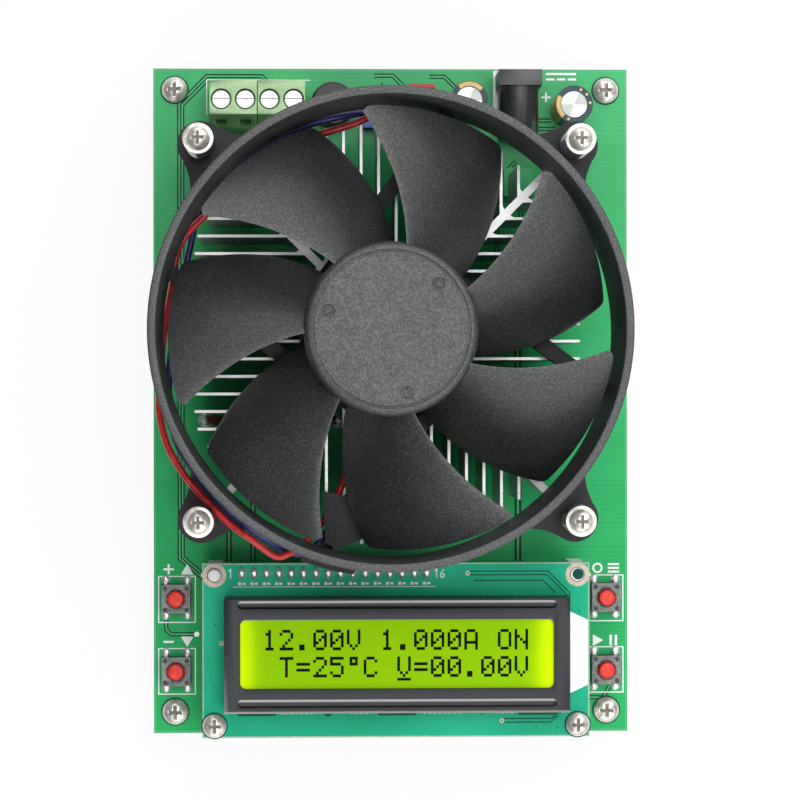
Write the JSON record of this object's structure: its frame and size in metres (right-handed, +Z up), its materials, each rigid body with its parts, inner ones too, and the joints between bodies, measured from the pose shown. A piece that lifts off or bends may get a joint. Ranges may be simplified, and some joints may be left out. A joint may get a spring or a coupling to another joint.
{
  "type": "dc electronic load",
  "caption": "Open-board DC electronic load: green circuit board on feet with a fan-cooled finned heatsink, character display, push buttons, screw terminal and power jack.",
  "frame": {"origin": "on the bench under the middle of the board, at the bottom of the feet", "axes": "+X to the right of the display, +Y from the display towards the terminal, +Z up along the fan axis"},
  "size_m": [0.1, 0.14, 0.0696],
  "materials": {
    "board_green": "solder mask gloss",
    "display_board_green": "solder mask gloss",
    "solder": "tinned",
    "brass": "turned",
    "screw_nickel": "nickel plated",
    "spring_steel": "bright wire",
    "sink_aluminium": "extruded",
    "fan_black": "fine moulded grain",
    "motor_steel": "plain",
    "magnet": "bonded ferrite",
    "copper": "enamelled wire",
    "motor_board_green": "solder mask gloss",
    "part_black": "moulded",
    "wire_red": "smooth insulation",
    "wire_blue": "smooth insulation",
    "connector_red": "moulded",
    "bezel_black": "satin",
    "display_glass": "lit yellow-green",
    "backlight_white": "diffuser",
    "nylon_white": "nylon",
    "switch_plate": "pressed plate",
    "cap_red": "moulded",
    "terminal_green": "moulded",
    "capacitor_can": "drawn",
    "capacitor_sleeve": "shrunk film",
    "trimmer_blue": "moulded",
    "trimmer_white": "moulded"
  },
  "bodies": {
    "board": {"main_board": "board_green", "lcd_board": "display_board_green", "solder_joints": "solder", "component_leads": "solder", "transistor_leads": "solder", "lcd_pins": "solder", "switch_legs": "solder", "terminal_contacts": "solder", "jack_contacts": "solder", "board_feet": "brass", "sleeve_bearing": "brass", "board_screws": "screw_nickel", "clamp_screws": "screw_nickel", "clamp_nuts": "screw_nickel", "lcd_screws": "screw_nickel", "clamp_springs": "spring_steel", "switch_domes": "spring_steel", "heatsink": "sink_aluminium", "fan_frame": "fan_black", "stator_core": "motor_steel", "stator_coils": "copper", "shunt_wire": "copper", "motor_board": "motor_board_green", "control_chips": "part_black", "power_transistor": "part_black", "lcd_drivers": "part_black", "lcd_socket": "part_black", "switch_bodies": "part_black", "jack_body": "part_black", "buzzer": "part_black", "fan_wire_red": "wire_red", "fan_wire_blue": "wire_blue", "fan_connector": "connector_red", "lcd_bezel": "bezel_black", "lcd_glass": "display_glass", "lcd_backlight": "backlight_white", "lcd_standoffs": "nylon_white", "switch_covers": "switch_plate", "terminal_housings": "terminal_green", "capacitor_cans": "capacitor_can", "capacitor_sleeves": "capacitor_sleeve", "trimmer_body": "trimmer_blue"},
    "rotor": {"impeller": "fan_black", "rotor_yoke": "motor_steel", "rotor_magnet": "magnet", "fan_shaft": "motor_steel"},
    "increase_cap": {"button_increase": "cap_red"},
    "reduce_cap": {"button_reduce": "cap_red"},
    "set_cap": {"button_set": "cap_red"},
    "start_cap": {"button_start": "cap_red"},
    "trimmer_dial": {"trimmer_rotor": "trimmer_white"},
    "pole_screw_1": {"terminal_screw_1": "screw_nickel"},
    "pole_cage_1": {"terminal_cage_1": "brass"},
    "pole_screw_2": {"terminal_screw_2": "screw_nickel"},
    "pole_cage_2": {"terminal_cage_2": "brass"},
    "pole_screw_3": {"terminal_screw_3": "screw_nickel"},
    "pole_cage_3": {"terminal_cage_3": "brass"},
    "pole_screw_4": {"terminal_screw_4": "screw_nickel"},
    "pole_cage_4": {"terminal_cage_4": "brass"}
  },
  "joints": [
    {"name": "fan_spin", "type": "hinge", "parent": "board", "child": "rotor", "pos_m": [-0.0015, 0.0136, 0.058], "axis": [0, 0, 1], "continuous": true},
    {"name": "increase_press", "type": "slide", "parent": "board", "child": "increase_cap", "axis": [0, 0, -1], "range_m": [0, 0.00025], "stiffness_N_per_m": 2000, "springref_m": -0.0003},
    {"name": "reduce_press", "type": "slide", "parent": "board", "child": "reduce_cap", "axis": [0, 0, -1], "range_m": [0, 0.00025], "stiffness_N_per_m": 2000, "springref_m": -0.0003},
    {"name": "set_press", "type": "slide", "parent": "board", "child": "set_cap", "axis": [0, 0, -1], "range_m": [0, 0.00025], "stiffness_N_per_m": 2000, "springref_m": -0.0003},
    {"name": "start_press", "type": "slide", "parent": "board", "child": "start_cap", "axis": [0, 0, -1], "range_m": [0, 0.00025], "stiffness_N_per_m": 2000, "springref_m": -0.0003},
    {"name": "pole_turn_1", "type": "hinge", "parent": "board", "child": "pole_screw_1", "pos_m": [-0.0354, 0.0625, 0.0196], "axis": [0, 0, -1], "range_deg": [0, 1080]},
    {"name": "cage_rise_1", "type": "slide", "parent": "board", "child": "pole_cage_1", "axis": [0, 0, 1], "range_m": [0, 0.0015]},
    {"name": "pole_turn_2", "type": "hinge", "parent": "board", "child": "pole_screw_2", "pos_m": [-0.0304, 0.0625, 0.0196], "axis": [0, 0, -1], "range_deg": [0, 1080]},
    {"name": "cage_rise_2", "type": "slide", "parent": "board", "child": "pole_cage_2", "axis": [0, 0, 1], "range_m": [0, 0.0015]},
    {"name": "pole_turn_3", "type": "hinge", "parent": "board", "child": "pole_screw_3", "pos_m": [-0.0254, 0.0625, 0.0196], "axis": [0, 0, -1], "range_deg": [0, 1080]},
    {"name": "cage_rise_3", "type": "slide", "parent": "board", "child": "pole_cage_3", "axis": [0, 0, 1], "range_m": [0, 0.0015]},
    {"name": "pole_turn_4", "type": "hinge", "parent": "board", "child": "pole_screw_4", "pos_m": [-0.0204, 0.0625, 0.0196], "axis": [0, 0, -1], "range_deg": [0, 1080]},
    {"name": "cage_rise_4", "type": "slide", "parent": "board", "child": "pole_cage_4", "axis": [0, 0, 1], "range_m": [0, 0.0015]},
    {"name": "contrast_turn", "type": "hinge", "parent": "board", "child": "trimmer_dial", "pos_m": [-0.0026, 0.0605, 0.0146], "axis": [0, 0, 1], "range_deg": [-130, 130]}
  ],
  "couplings": [
    {"joint": "pole_turn_1", "follows": "cage_rise_1", "rad_per_m": 12565},
    {"joint": "pole_turn_2", "follows": "cage_rise_2", "rad_per_m": 12565},
    {"joint": "pole_turn_3", "follows": "cage_rise_3", "rad_per_m": 12565},
    {"joint": "pole_turn_4", "follows": "cage_rise_4", "rad_per_m": 12565}
  ]
}
